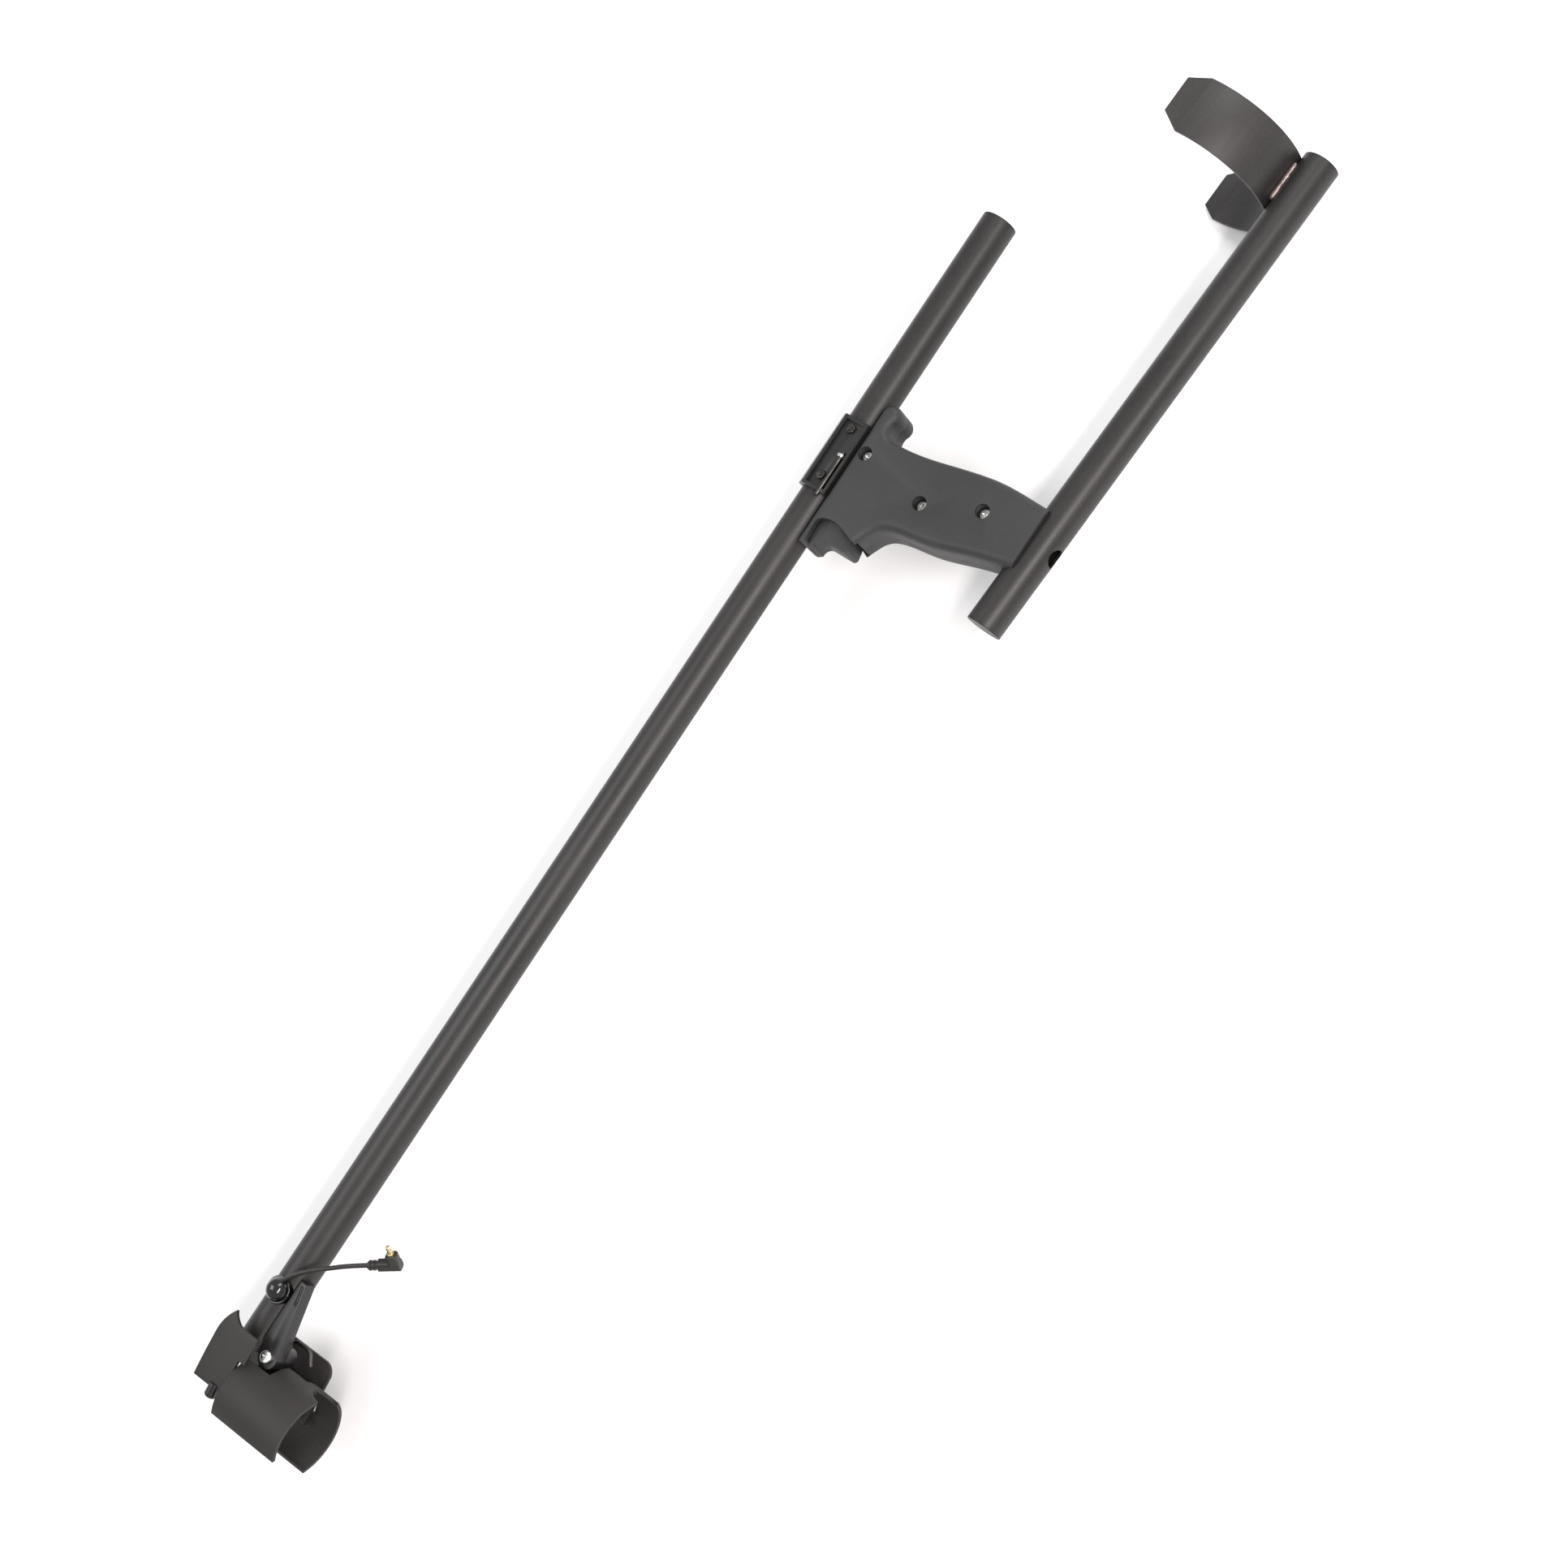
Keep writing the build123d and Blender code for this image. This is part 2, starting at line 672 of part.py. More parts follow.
def make_hinge_arm():
    """A wedge of bar that follows the tube's lower near side and ends in a round eye."""
    hx, hy = HINGE
    rear = FRONT + 57.0
    depth = HINGE_ARM_NEAR - HINGE_ARM_FAR
    with BuildPart() as arm:
        with BuildSketch(Plane.XY.offset(HINGE_ARM_FAR)):
            with BuildLine():
                Polyline((rear, 0), (hx + 16.0, 0), (hx + 4.0, hy + HINGE_ARM_END_R),
                         (hx, hy + HINGE_ARM_END_R), (hx, hy - HINGE_ARM_END_R),
                         (rear, -TUBE_R - 3.6), close=True)
            make_face()
            with Locations(HINGE):
                Circle(HINGE_ARM_END_R)
        extrude(amount=depth)
        # its near corner is cut back above the tube's side
        with BuildSketch(Plane.XY.offset(HINGE_ARM_FAR)):
            with Locations((rear + 1, -TUBE_R + 1.4)):
                Rectangle(MAIN_LENGTH, 2 * TUBE_R, align=(Align.MAX, Align.MIN))
        extrude(amount=depth, mode=Mode.SUBTRACT)
        with BuildSketch(across(FRONT - 20)):
            Circle(TUBE_R + PRESS)
        extrude(amount=MAIN_LENGTH, mode=Mode.SUBTRACT)
        # finger ridges at the rear end of the near face
        with BuildSketch(Plane.XY.offset(HINGE_ARM_NEAR)):
            with Locations(*[(rear - 7.5, -TUBE_R - 2.2 - 1.5 * ridge) for ridge in range(2)]):
                Rectangle(11.0, 0.7, rotation=14)
            with Locations(*[(rear - 11.5, -TUBE_R - 3.0 - 1.5 * ridge) for ridge in range(2)]):
                Rectangle(8.0, 0.7, rotation=14)
        extrude(amount=0.7)
        with BuildSketch(Plane.XY):
            with Locations(HINGE):
                Circle(HINGE_R + PRESS)
        extrude(amount=HINGE_ARM_NEAR + 1, mode=Mode.SUBTRACT)
    return arm.part


def make_hinge_bolt():
    face = HINGE_ARM_NEAR + 0.05
    with BuildPart() as bolt:
        with BuildSketch(Plane.XY.offset(KNUCKLE_FAR - 5.0)):
            with Locations(HINGE):
                Circle(HINGE_R)
        extrude(amount=face - KNUCKLE_FAR + 5.0)
        with BuildSketch(Plane.XY.offset(face)):
            with Locations(HINGE):
                Circle(4.5)
        extrude(amount=3.0)
        fillet(bolt.faces().sort_by(Axis.Z)[-1].edges(), 1.2)
        with BuildSketch(Plane.XY.offset(face + 1.4)):
            with Locations(HINGE):
                Rectangle(4.6, 0.9)
                Rectangle(0.9, 4.6)
        extrude(amount=3, mode=Mode.SUBTRACT)
    return bolt.part


def make_hinge_nut():
    with BuildPart() as nut:
        with BuildSketch(Plane.XY.offset(KNUCKLE_FAR - 0.3)):
            with Locations(HINGE):
                RegularPolygon(4.0, 6)
                Circle(HINGE_R + PRESS, mode=Mode.SUBTRACT)
        extrude(amount=-3.2)
    return nut.part


# ---------- cradle ----------

def tilted(part):
    """The part turned about the hinge, from the cradle's own frame to where it stands."""
    return part.rotate(Axis((*HINGE, 0), (0, 0, 1)), CRADLE_TILT)


def make_cheek(side):
    """One cheek of the cradle: a bowed sheet with a horn beside the tube."""
    front, crown, rear = CRADLE_X - 3.0, CRADLE_X + 19.5, CRADLE_X + 48.5
    front_z, crown_z, rear_z = CLIP_R - 5.0, CLIP_R - 4.0, CLIP_R - 5.0
    inner = -CHEEK_SHEET
    edge = CRADLE_X + 40.6
    with BuildPart() as cheek:
        with BuildSketch(Plane.XZ.offset(-CHEEK_TOP)):
            with BuildLine():
                ThreePointArc((front, side * front_z), (crown, side * crown_z),
                              (rear, side * rear_z))
                Line((rear, side * rear_z), (rear, side * (rear_z + inner)))
                ThreePointArc((rear, side * (rear_z + inner)), (crown, side * (crown_z + inner)),
                              (front, side * (front_z + inner)))
                Line((front, side * (front_z + inner)), (front, side * front_z))
            make_face()
        extrude(amount=CHEEK_TOP - CHEEK_END)
        # trim to the cheek's side view: the horn, the straight rear edge, the round lower corner
        with BuildSketch(Plane.XY):
            with BuildLine():
                Line((front, CHEEK_TOP), (edge - 12.0, CHEEK_TOP))
                Spline((edge - 12.0, CHEEK_TOP), (edge - 1.6, CHEEK_TOP - 1.6),
                       (rear - 0.4, CHEEK_TOP - 6.8), tangents=((1, 0), (1, -0.8)))
                Spline((rear - 0.4, CHEEK_TOP - 6.8), (edge + 2.2, CHEEK_TOP - 11.8),
                       (edge, CHEEK_TOP - 18.0), tangents=((-0.9, -0.4), (0, -1)))
                Line((edge, CHEEK_TOP - 18.0), (edge, CHEEK_END + 9.0))
                ThreePointArc((edge, CHEEK_END + 9.0), (edge - 2.6, CHEEK_END + 2.6),
                              (edge - 9.0, CHEEK_END))
                Line((edge - 9.0, CHEEK_END), (front, CHEEK_END))
                Line((front, CHEEK_END), (front, CHEEK_TOP))
            make_face()
            # the near cheek stops above the clip and short of the hinge bolt's head
            if side > 0:
                with Locations((CRADLE_X + CHEEK_SEAT, CLIP_TOP + 0.3)):
                    Rectangle(HINGE[0] - 9.6 - CRADLE_X - CHEEK_SEAT, 80, align=(Align.MIN, Align.MAX),
                              mode=Mode.SUBTRACT)
                with Locations((HINGE[0] - 9.6, HINGE[1] + 5.0)):
                    Rectangle(60, 80, align=(Align.MIN, Align.MAX), mode=Mode.SUBTRACT)
        extrude(amount=side * 40, mode=Mode.INTERSECT)
        with BuildSketch(Plane.XY):
            with Locations(*RIVETS):
                Circle(RIVET_R + PRESS)
        extrude(amount=side * 40, mode=Mode.SUBTRACT)
    return cheek.part


def make_spine(others):
    """The cross plate inside the clip, with the knuckle that turns on the hinge bolt."""
    hx, hy = HINGE
    knuckle_depth = KNUCKLE_NEAR - KNUCKLE_FAR
    with BuildPart() as spine:
        with BuildSketch(Plane.XY.offset(KNUCKLE_FAR)):
            with Locations(HINGE):
                Circle(KNUCKLE_R)
            with Locations((SPINE_X - 1, hy - 1.0)):
                Rectangle(hx - SPINE_X + 1, 10.0, align=(Align.MIN, Align.CENTER))
        extrude(amount=knuckle_depth)
        with BuildSketch(Plane.XY):
            with Locations((SPINE_X, CHEEK_END + 1.0)):
                Rectangle(SPINE_SHEET, hy + 5.0 - CHEEK_END - 1.0, align=(Align.MAX, Align.MIN))
        extrude(amount=CLIP_R, both=True)
        with BuildSketch(Plane.XZ.offset(-CHEEK_TOP)):
            with Locations((CRADLE_X, 0)):
                Circle(3 * CLIP_R)
                Circle(CLIP_R - CLIP_SHEET - PRESS, mode=Mode.SUBTRACT)
            with Locations((CRADLE_X, KNUCKLE_NEAR)):
                Rectangle(8 * CLIP_R, 4 * CLIP_R, align=(Align.CENTER, Align.MIN), mode=Mode.INTERSECT)
            with Locations((SPINE_X + 0.01, 0)):
                Rectangle(8 * CLIP_R, 8 * CLIP_R, align=(Align.MAX, Align.CENTER), mode=Mode.INTERSECT)
        extrude(amount=CHEEK_TOP - CHEEK_END, mode=Mode.SUBTRACT)
        for other in others:
            add(other, mode=Mode.SUBTRACT)
        keep = spine.part.solids().sort_by(SortBy.VOLUME)[-1]
    with BuildPart() as knuckle:
        add(keep)
        with BuildSketch(Plane.XY):
            with Locations(HINGE):
                Circle(HINGE_R + RUN)
        extrude(amount=CLIP_R, both=True, mode=Mode.SUBTRACT)
    return knuckle.part


def make_clip():
    """The clip: a tube open at the front, with a round notch in its lower rim at the rear."""
    reach = 2 * CLIP_R
    with BuildPart() as clip:
        with BuildSketch(Plane.XZ.offset(-CLIP_TOP)):
            with Locations((CRADLE_X, 0)):
                Circle(CLIP_R)
                Circle(CLIP_R - CLIP_SHEET, mode=Mode.SUBTRACT)
            with BuildLine():
                Polyline((CRADLE_X, 0), (CRADLE_X - reach, reach * tan(radians(NEAR_MOUTH))),
                         (CRADLE_X - reach, -reach * tan(radians(FAR_MOUTH))), close=True)
            make_face(mode=Mode.SUBTRACT)
        extrude(amount=CLIP_TOP - CLIP_END)
        # a round notch in the lower rim at the rear
        with BuildSketch(Plane.YZ.offset(CRADLE_X)):
            with Locations((CLIP_END, -1.0)):
                Circle(CLIP_NOTCH_R)
        extrude(amount=CLIP_R + 1, mode=Mode.SUBTRACT)
        # room for the hinge arm's eye on the near side, and for the far cheek
        with BuildSketch(Plane.XY):
            with Locations((HINGE[0] - 10.0, HINGE[1] - 11.0)):
                Rectangle(60, 80, align=(Align.MIN, Align.MIN))
        extrude(amount=HINGE_ARM_NEAR + 4.0, mode=Mode.SUBTRACT)
        with BuildSketch(Plane.XY):
            with Locations((CRADLE_X + CHEEK_SEAT, CHEEK_END - 0.8)):
                Rectangle(60, 80, align=(Align.MIN, Align.MIN))
        extrude(amount=-CLIP_R - 1, mode=Mode.SUBTRACT)
        with BuildSketch(Plane.XY):
            with Locations(*RIVETS):
                Circle(RIVET_R + PRESS)
        extrude(amount=RIVET_END + PRESS, both=True, mode=Mode.SUBTRACT)
    return clip.part


RIVET_END = CLIP_R - 1.8
RIVET_HEAD = CLIP_R - 8.3


def make_rivets():
    """Blind rivets: their heads are inside the cheeks and their tails end in the clip's sheet."""
    with BuildPart() as rivets:
        for side in (1, -1):
            with BuildSketch(Plane.XY.offset(side * RIVET_HEAD)):
                with Locations(*RIVETS):
                    Circle(RIVET_R)
            extrude(amount=side * (RIVET_END - RIVET_HEAD))
            with BuildSketch(Plane.XY.offset(side * RIVET_HEAD)):
                with Locations(*RIVETS):
                    Circle(RIVET_R + 0.9)
            extrude(amount=side * 0.8)
    return rivets.part


def make_bumpers(others):
    """Rubber stops on the front edges of the cheeks."""
    front = CRADLE_X - 10.0
    with BuildPart() as bumpers:
        for side in (1, -1):
            with BuildSketch(across(front)):
                with Locations((-side * (CLIP_R - 7.5), -2.5)):
                    Circle(4.6)
            extrude(amount=10.0)
        fillet(bumpers.faces().sort_by(Axis.X)[:2].edges(), 2.5)
        for other in others:
            add(other, mode=Mode.SUBTRACT)
    return bumpers.part


def make_hook():
    """A bent wire hook on the rear of the knuckle."""
    hx, hy = HINGE
    root, out, level = hx + KNUCKLE_R + PRESS, hx + KNUCKLE_R + 6.5, -6.0
    bends = ((root, hy, level), (out, hy, level), (out, hy - 16.0, level), (out - 8.0, hy - 21.0, level))
    with BuildLine() as route:
        FilletPolyline(*bends, radius=4.0)
    with BuildPart() as hook:
        with BuildSketch(Plane(origin=route.wire() @ 0, z_dir=route.wire() % 0)):
            Circle(1.3)
        sweep(path=route.wire())
    return hook.part


# ---------- build everything ----------

save(make_main_tube(), "main_tube")
save(make_plug(across(0)), "main_tube_rear_plug")
save(make_plug(Plane(origin=(FRONT, 0, 0), z_dir=(-1, 0, 0))), "main_tube_front_plug")

save(make_arm_tube(), "arm_tube")
save(make_plug(arm_across(ARM_REAR)), "arm_tube_rear_plug")
front_face = arm_across(ARM_FRONT)
save(make_plug(Plane(origin=front_face.origin, z_dir=-front_face.z_dir)), "arm_tube_front_plug")
save(make_cuff(), "arm_cuff")
save(make_weld_beads(), "cuff_weld_beads")

save(make_grip_shell(1), "grip_near_shell")
save(make_grip_shell(-1), "grip_far_shell")
save(make_grip_screws(), "grip_screws")
save(make_grip_end_screw(), "grip_end_screw")
save(make_grip_end_nut(), "grip_end_nut")
save(make_trigger(), "trigger")
save(make_trigger_pin(), "trigger_pin")
save(make_trigger_spring(), "trigger_spring")
save(make_micro_switch(), "micro_switch")

save(make_bracket(), "clamp_bracket")
save(make_bracket_top_screws(), "bracket_top_screws")
save(make_bracket_recess_screws(), "bracket_recess_screws")
save(make_slide_rod(), "slide_rod")
save(make_rod_collar(), "slide_rod_collar")

save(make_grommet(), "cable_grommet")
save(make_lead(), "plug_lead")
save(make_strain_relief(), "plug_strain_relief")
save(make_plug_body(), "plug_body")
save(make_plug_tip(), "plug_tip")

save(make_hinge_arm(), "hinge_arm")
save(make_hinge_bolt(), "hinge_bolt")
save(make_hinge_nut(), "hinge_nut")

cheeks = (make_cheek(1), make_cheek(-1))
clip = make_clip()
save(tilted(cheeks[0]), "cradle_near_cheek")
save(tilted(cheeks[1]), "cradle_far_cheek")
save(tilted(make_spine((*cheeks, clip))), "cradle_spine")
save(tilted(clip), "cradle_clip")
save(tilted(make_rivets()), "cradle_rivets")
save(tilted(make_bumpers((*cheeks, clip))), "cradle_bumpers")
save(tilted(make_hook()), "cradle_hook")
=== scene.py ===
"""Looks for the arm-braced detector pole: finishes, finer pieces, the plug's lead, light and camera."""

import json
import math
import random

import bmesh
import bpy
from mathutils import Matrix, Vector, noise


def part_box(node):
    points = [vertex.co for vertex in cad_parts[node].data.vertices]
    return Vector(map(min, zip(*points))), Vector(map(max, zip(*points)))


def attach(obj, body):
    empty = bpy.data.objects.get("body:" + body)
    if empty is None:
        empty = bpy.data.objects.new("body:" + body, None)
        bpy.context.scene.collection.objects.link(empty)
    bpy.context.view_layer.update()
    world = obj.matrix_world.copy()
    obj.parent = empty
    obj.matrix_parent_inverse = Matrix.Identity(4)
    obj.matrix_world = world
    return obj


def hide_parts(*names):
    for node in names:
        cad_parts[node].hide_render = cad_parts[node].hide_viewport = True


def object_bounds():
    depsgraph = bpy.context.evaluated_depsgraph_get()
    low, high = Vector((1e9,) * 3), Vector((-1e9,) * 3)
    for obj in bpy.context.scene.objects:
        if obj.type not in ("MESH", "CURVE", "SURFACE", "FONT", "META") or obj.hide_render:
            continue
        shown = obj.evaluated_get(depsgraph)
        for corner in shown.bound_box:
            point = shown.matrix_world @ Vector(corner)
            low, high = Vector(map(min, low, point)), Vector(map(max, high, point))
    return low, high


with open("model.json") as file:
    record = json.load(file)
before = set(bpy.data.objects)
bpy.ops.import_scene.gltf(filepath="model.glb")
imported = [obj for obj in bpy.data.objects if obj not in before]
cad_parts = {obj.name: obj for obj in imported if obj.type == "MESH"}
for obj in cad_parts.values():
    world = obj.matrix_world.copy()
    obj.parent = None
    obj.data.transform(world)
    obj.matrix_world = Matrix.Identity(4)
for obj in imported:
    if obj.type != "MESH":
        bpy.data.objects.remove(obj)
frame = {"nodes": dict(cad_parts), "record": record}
cad_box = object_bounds()
nodes = frame["nodes"]
SLOTS = {s["node"]: s["material_slot"] for s in frame["record"]["subparts"]}
BODY = {n: b for b, names in frame["record"]["behaviour"]["bodies"].items() for n in names}
MM = 0.001


# ---------- camera ----------

TILT = math.radians(28)
across_view = Vector((1, 0, 0))
up_view = Vector((0, math.cos(TILT), math.sin(TILT)))
to_camera = Vector((0, -math.sin(TILT), math.cos(TILT)))
ROLL_COS, ROLL_SIN = 0.5534, 0.8329
CAMERA_PLACE = (-0.3953, -0.7474, 1.21765)
LENS = 48.45
SENSOR = 36


def place_camera():
    right = across_view * ROLL_COS - up_view * ROLL_SIN
    up = across_view * ROLL_SIN + up_view * ROLL_COS
    data = bpy.data.cameras.new("camera")
    data.sensor_width = SENSOR
    data.lens = LENS
    data.clip_end = 50
    camera = bpy.data.objects.new("camera", data)
    bpy.context.scene.collection.objects.link(camera)
    turn = Matrix((right, up, to_camera)).transposed().to_4x4()
    camera.matrix_world = Matrix.Translation(CAMERA_PLACE) @ turn
    bpy.context.scene.camera = camera


place_camera()


# ---------- shader maths ----------

class Value:
    """A node's output, with arithmetic that adds Math nodes."""

    def __init__(self, finish, socket):
        self.finish, self.socket = finish, socket

    def math(self, operation, *values):
        return self.finish.node("ShaderNodeMath", {"operation": operation}, *values)

    def __add__(self, other):
        return self.math("ADD", self, other)

    def __mul__(self, other):
        return self.math("MULTIPLY", self, other)

    __radd__, __rmul__ = __add__, __mul__


class Finish:
    """A material under construction."""

    def __init__(self, name):
        self.material = bpy.data.materials.new(name)
        self.material.use_nodes = True
        self.tree = self.material.node_tree
        self.shader = self.tree.nodes["Principled BSDF"]
        self.place = self.node("ShaderNodeTexCoord", {}, out="Object")

    def node(self, kind, settings, *values, out=0, at=(), **named):
        """A node of one kind; values feed its sockets in order, at feeds (number, value) pairs."""
        made = self.tree.nodes.new(kind)
        for key, value in settings.items():
            setattr(made, key, value)
        inputs = [*enumerate(values), *at]
        inputs += [(key.replace("_", " "), value) for key, value in named.items()]
        for key, value in inputs:
            self.feed(made.inputs[key], value)
        return Value(self, made.outputs[out])

    def feed(self, socket, value):
        if isinstance(value, Value):
            self.tree.links.new(value.socket, socket)
        elif isinstance(value, tuple) and len(value) == 3 and socket.type == "RGBA":
            socket.default_value = (*value, 1)
        else:
            socket.default_value = value

    def noise(self, scale, detail=3.0, roughness=0.55, where=None):
        return self.node("ShaderNodeTexNoise", {}, Vector=where or self.place, Scale=scale,
                         Detail=detail, Roughness=roughness)

    def stretched(self, scale):
        return self.node("ShaderNodeMapping", {}, Vector=self.place, Scale=scale)

    def grains(self, scale):
        return self.node("ShaderNodeTexVoronoi", {}, Vector=self.place, Scale=scale)

    def between(self, value, low, high, to_low=0.0, to_high=1.0):
        return self.node("ShaderNodeMapRange", {"clamp": True}, value, low, high, to_low, to_high)

    def blend(self, share, first, second):
        """A mix of two colours; sockets 0, 6 and 7 of the Mix node are its colour form's."""
        return self.node("ShaderNodeMix", {"data_type": "RGBA"}, out=2,
                         at=((0, share), (6, first), (7, second)))

    def bump(self, height, depth, distance=0.0004):
        return self.node("ShaderNodeBump", {}, Strength=depth, Distance=distance, Height=height)

    def done(self, **sockets):
        for key, value in sockets.items():
            self.feed(self.shader.inputs[key.replace("_", " ")], value)
        return self.material


# ---------- finishes ----------

def satin_paint(name, dark, light, rough, peel=0.10, specular=0.5, dust=0.25):
    """Powder coat: a cloudy tone, orange peel, a little dust and a few rubbed streaks."""
    f = Finish(name)
    clouds = f.between(f.noise(9, 4), 0.35, 0.68)
    fine = f.noise(900, 2)
    rub = f.between(f.noise(60, 5, where=f.stretched((0.12, 1, 1))), 0.60, 0.75)
    colour = f.blend(clouds, dark, light)
    colour = f.blend(f.between(fine, 0.52, 0.80) * dust, colour, tuple(min(1, c * 3.4) for c in light))
    height = fine + f.noise(2600, 1) * 0.5
    return f.done(
        Base_Color=colour,
        Roughness=clouds * 0.06 + rub * -0.07 + fine * 0.10 + (rough - 0.06),
        Specular_IOR_Level=specular,
        Normal=f.bump(height, peel),
    )


def moulded(name, dark, light, rough, grain, depth, specular=0.5):
    """Moulded plastic or rubber with a spark-eroded grain."""
    f = Finish(name)
    clouds = f.between(f.noise(14, 4), 0.35, 0.7)
    pits = f.between(f.grains(grain), 0.05, 0.75)
    fine = f.noise(grain * 0.8, 2)
    colour = f.blend(clouds * 0.6 + f.between(fine, 0.4, 0.75) * 0.4, dark, light)
    return f.done(
        Base_Color=colour,
        Roughness=clouds * 0.08 + pits * 0.10 + (rough - 0.08),
        Specular_IOR_Level=specular,
        Normal=f.bump(pits * 0.7 + fine * 0.6, depth, 0.0003),
    )


def bare_metal(name, dark, light, rough, scratch=0.15, metallic=1.0):
    """Plated or blackened steel with turning marks and small stains."""
    f = Finish(name)
    stains = f.between(f.noise(140, 5), 0.38, 0.70)
    lines = f.noise(1500, 2, where=f.stretched((1, 0.15, 1)))
    return f.done(
        Base_Color=f.blend(stains, light, dark),
        Metallic=metallic,
        Roughness=stains * 0.14 + lines * 0.12 + (rough - 0.08),
        Normal=f.bump(lines + stains * 0.4, scratch, 0.0002),
    )


FINISHES = {
    "black_tube": satin_paint("black_tube", (0.0125, 0.0115, 0.011), (0.020, 0.018, 0.0175), 0.42),
    "cuff_paint": satin_paint("cuff_paint", (0.016, 0.0145, 0.0145), (0.027, 0.0235, 0.0235), 0.47),
    "black_plastic": moulded("black_plastic", (0.008, 0.008, 0.008),
        (0.017, 0.016, 0.016), 0.42, 1500, 0.15),
    "grip_plastic": moulded("grip_plastic", (0.018, 0.019, 0.019),
        (0.030, 0.031, 0.031), 0.52, 1300, 0.30),
    "steel": bare_metal("steel", (0.42, 0.42, 0.40), (0.80, 0.80, 0.78), 0.24),
    "black_metal": satin_paint("black_metal", (0.008, 0.008, 0.008), (0.016, 0.015, 0.0145), 0.36),
    "dark_steel": bare_metal("dark_steel", (0.035, 0.034, 0.032), (0.11, 0.105, 0.10), 0.34),
    "gloss_rubber": moulded("gloss_rubber", (0.003, 0.003, 0.003),
        (0.006, 0.006, 0.006), 0.13, 700, 0.02, 0.7),
    "cable_rubber": moulded("cable_rubber", (0.010, 0.009, 0.009),
        (0.022, 0.019, 0.018), 0.38, 1200, 0.12),
    "gold_steel": bare_metal("gold_steel", (0.55, 0.42, 0.20), (0.86, 0.77, 0.55), 0.20, 0.08),
    "cradle_rubber": moulded("cradle_rubber", (0.0125, 0.0105, 0.0100),
        (0.021, 0.0175, 0.0165), 0.55, 1900, 0.28),
    "weld": bare_metal("weld", (0.16, 0.125, 0.115), (0.52, 0.43, 0.40), 0.42, 0.45, 0.85),
}


def paint(piece, finish):
    piece.data.materials.clear()
    piece.data.materials.append(FINISHES[finish])


for name, node in nodes.items():
    for slot_index in range(len(node.material_slots)):
        node.material_slots[slot_index].material = FINISHES[SLOTS[name]]


# ---------- pieces ----------

def finish_piece(name, bm, node, finish=None):
    """A new piece that stands for a CAD node."""
    mesh = bpy.data.meshes.new(name)
    bm.to_mesh(mesh)
    bm.free()
    piece = bpy.data.objects.new(name, mesh)
    bpy.context.scene.collection.objects.link(piece)
    paint(piece, finish or SLOTS[node])
    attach(piece, BODY[node])
    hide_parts(node)
    return piece


def merged_copy(node):
    """The CAD piece's mesh with its triangles merged into whole faces."""
    bm = bmesh.new()
    bm.from_mesh(nodes[node].data)
    bmesh.ops.remove_doubles(bm, verts=bm.verts, dist=1e-6)
    bmesh.ops.dissolve_limit(bm, angle_limit=math.radians(0.6), verts=bm.verts, edges=bm.edges)
    return bm


def eased(node, width, segments=3, angle=32):
    """The CAD piece with its sharp edges eased, as moulding, casting or deburring leaves them."""
    bm = merged_copy(node)
    for face in bm.faces:
        face.smooth = True
    piece = finish_piece(node + "_eased", bm, node)
    ease = piece.modifiers.new("ease", "BEVEL")
    ease.width = width * MM
    ease.segments = segments
    ease.limit_method = "ANGLE"
    ease.angle_limit = math.radians(angle)
    ease.harden_normals = True
    return piece


EASED = {
    "arm_cuff": 0.45, "grip_near_shell": 0.5, "grip_far_shell": 0.5, "trigger": 0.9,
    "clamp_bracket": 0.35, "hinge_arm": 0.3, "cradle_near_cheek": 0.5, "cradle_far_cheek": 0.5,
    "cradle_clip": 0.5, "cradle_spine": 0.5, "cradle_rivets": 0.3, "plug_strain_relief": 0.3,
    "bracket_top_screws": 0.4, "bracket_recess_screws": 0.25,
    "slide_rod_collar": 0.25, "hinge_nut": 0.25,
}
for node, width in EASED.items():
    eased(node, width)


ARM_LEAN = math.radians(2.8)
RIPPLES = 15
BEAD_SIDE = 7.3 * MM             # from the middle plane to each row of ripples
BEAD_ENDS = 3.2 * MM
BEAD_TURN = 0.75
BEAD_SHAPE = (0.95, 0.72, 1.12, 1)


def weld_beads():
    """Overlapping ripples of weld metal along both sides of the cuff's foot."""
    random.seed(4)
    low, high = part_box("cuff_weld_beads")
    bm = bmesh.new()
    lean = math.tan(ARM_LEAN)
    mid_x = (low[0] + high[0]) / 2
    length = high[0] - low[0] - BEAD_ENDS
    top = (low[1] + high[1]) / 2
    for side in (-1, 1):
        for step in range(RIPPLES):
            along = (step / (RIPPLES - 1) - 0.5) * length
            size = random.uniform(1.9, 2.35) * MM
            place = Vector((mid_x + along, top - along * lean, side * BEAD_SIDE))
            shape = Matrix.Translation(place) @ Matrix.Rotation(side * BEAD_TURN, 4, "X")
            shape = shape @ Matrix.Diagonal(BEAD_SHAPE)
            made = bmesh.ops.create_icosphere(bm, subdivisions=3, radius=size, matrix=shape)
            for v in made["verts"]:
                rough = noise.noise(v.co * 900) * 0.25 + noise.noise(v.co * 2600) * 0.10
                v.co += (v.co - place).normalized() * rough * MM
    for face in bm.faces:
        face.smooth = True
    return finish_piece("weld_ripples", bm, "cuff_weld_beads", "weld")


weld_beads()


# ---------- the plug's lead ----------------

LEAD_DIAMETER = 0.0032
LEAD_ROUTE = (
    (-861.5, 2.0, 16.5),
    (-851.5, -4.0, 17.0),
    (-841.0, -12.7, 16.8),
    (-830.5, -24.5, 15.4),
    (-820.8, -34.8, 12.0),
    (-812.6, -45.6, 10.4),
)


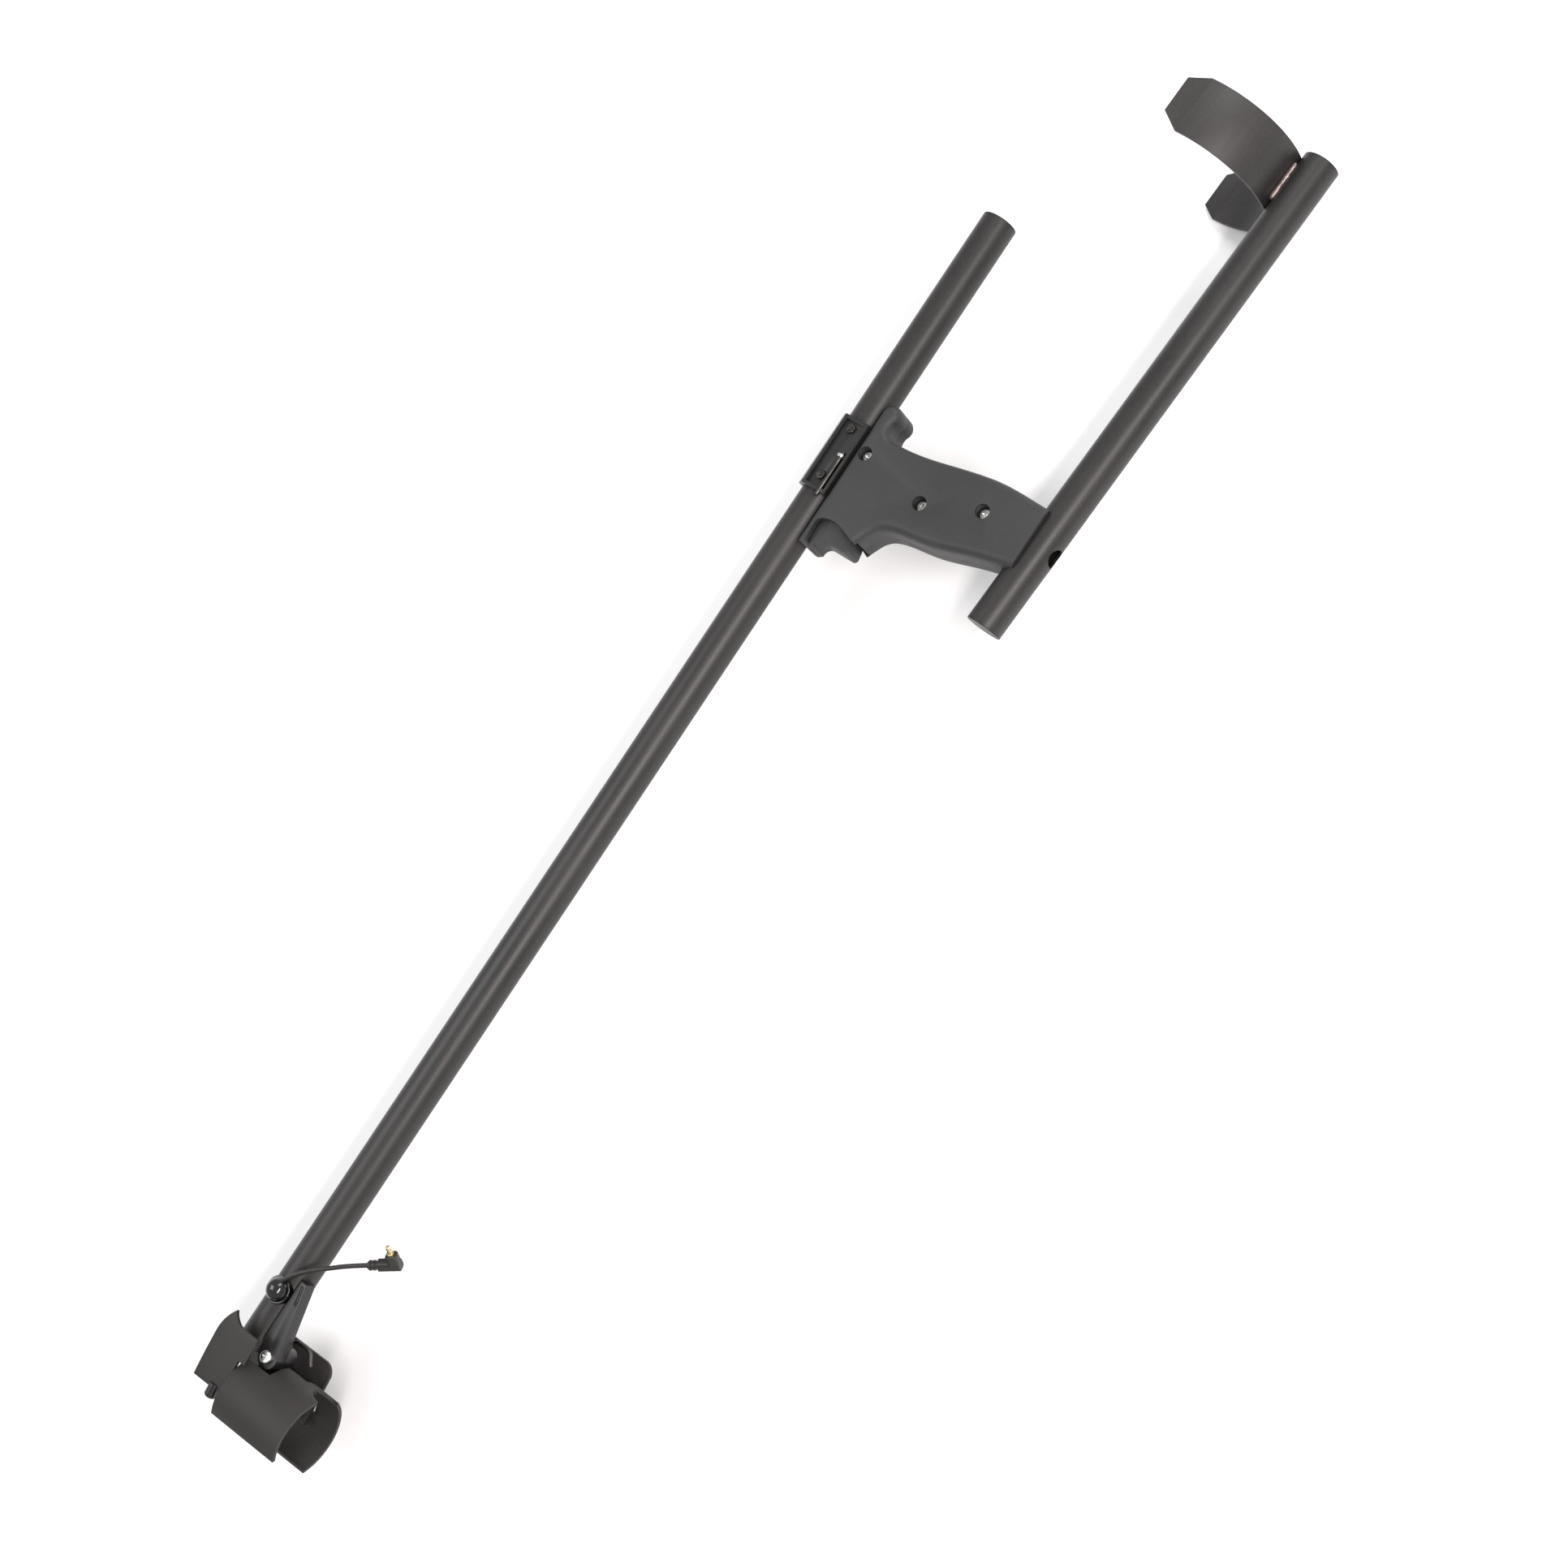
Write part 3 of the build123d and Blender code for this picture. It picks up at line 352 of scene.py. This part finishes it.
def lead():
    data = bpy.data.curves.new("plug_lead_cord", "CURVE")
    data.dimensions = "3D"
    data.bevel_depth = LEAD_DIAMETER / 2
    data.bevel_resolution = 8
    data.resolution_u = 24
    data.use_fill_caps = True
    spline = data.splines.new("NURBS")
    spline.points.add(len(LEAD_ROUTE) - 1)
    for point, place in zip(spline.points, LEAD_ROUTE):
        point.co = (*(Vector(place) * MM), 1)
    spline.order_u = 3
    spline.use_endpoint_u = True
    cord = bpy.data.objects.new("plug_lead_cord", data)
    bpy.context.scene.collection.objects.link(cord)
    paint(cord, "cable_rubber")
    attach(cord, "pole")
    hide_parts("plug_lead")
    return cord


cord = lead()


# ---------- floor and light ----------

FLOOR_DROP = 0.0005              # below the lowest point, so the two never flicker


def floor():
    bm = bmesh.new()
    bmesh.ops.create_grid(bm, x_segments=1, y_segments=1, size=8,
                          matrix=Matrix.Translation((-0.4, 0, cad_box[0][2] - FLOOR_DROP)))
    mesh = bpy.data.meshes.new("floor")
    bm.to_mesh(mesh)
    bm.free()
    plane = bpy.data.objects.new("floor", mesh)
    bpy.context.scene.collection.objects.link(plane)
    f = Finish("floor_white")
    tone = f.between(f.noise(3, 2), 0.3, 0.7)
    plane.data.materials.append(f.done(
        Base_Color=f.blend(tone, (0.90, 0.90, 0.90), (0.93, 0.93, 0.93)),
        Roughness=tone * 0.1 + 0.8, Specular_IOR_Level=0.1))


def softbox(name, place, target, size, power, colour=(1, 1, 1)):
    data = bpy.data.lights.new(name, "AREA")
    data.shape = "RECTANGLE"
    data.size, data.size_y = size
    data.energy = power
    data.color = colour
    lamp = bpy.data.objects.new(name, data)
    lamp.location = place
    lamp.rotation_euler = (Vector(target) - Vector(place)).to_track_quat("-Z", "Y").to_euler()
    bpy.context.scene.collection.objects.link(lamp)


floor()
middle = Vector((-0.40, -0.06, 0))
softbox("overhead", middle + to_camera * 1.9 + up_view * -0.35, middle, (1.6, 0.22), 34,
        (1.0, 0.92, 0.91))
softbox("left_fill", middle + up_view * 1.9 + to_camera * 1.1 + across_view * -0.6, middle,
        (1.2, 1.2), 18)
softbox("rear_strip", middle + across_view * 1.6 + up_view * 0.5 + to_camera * 1.0, middle,
        (0.8, 1.2), 14)

world = bpy.data.worlds.new("studio")
bpy.context.scene.world = world
world.use_nodes = True
world.node_tree.nodes["Background"].inputs["Color"].default_value = (1, 1, 1, 1)
world.node_tree.nodes["Background"].inputs["Strength"].default_value = 0.62
bpy.context.scene.view_settings.view_transform = "Standard"
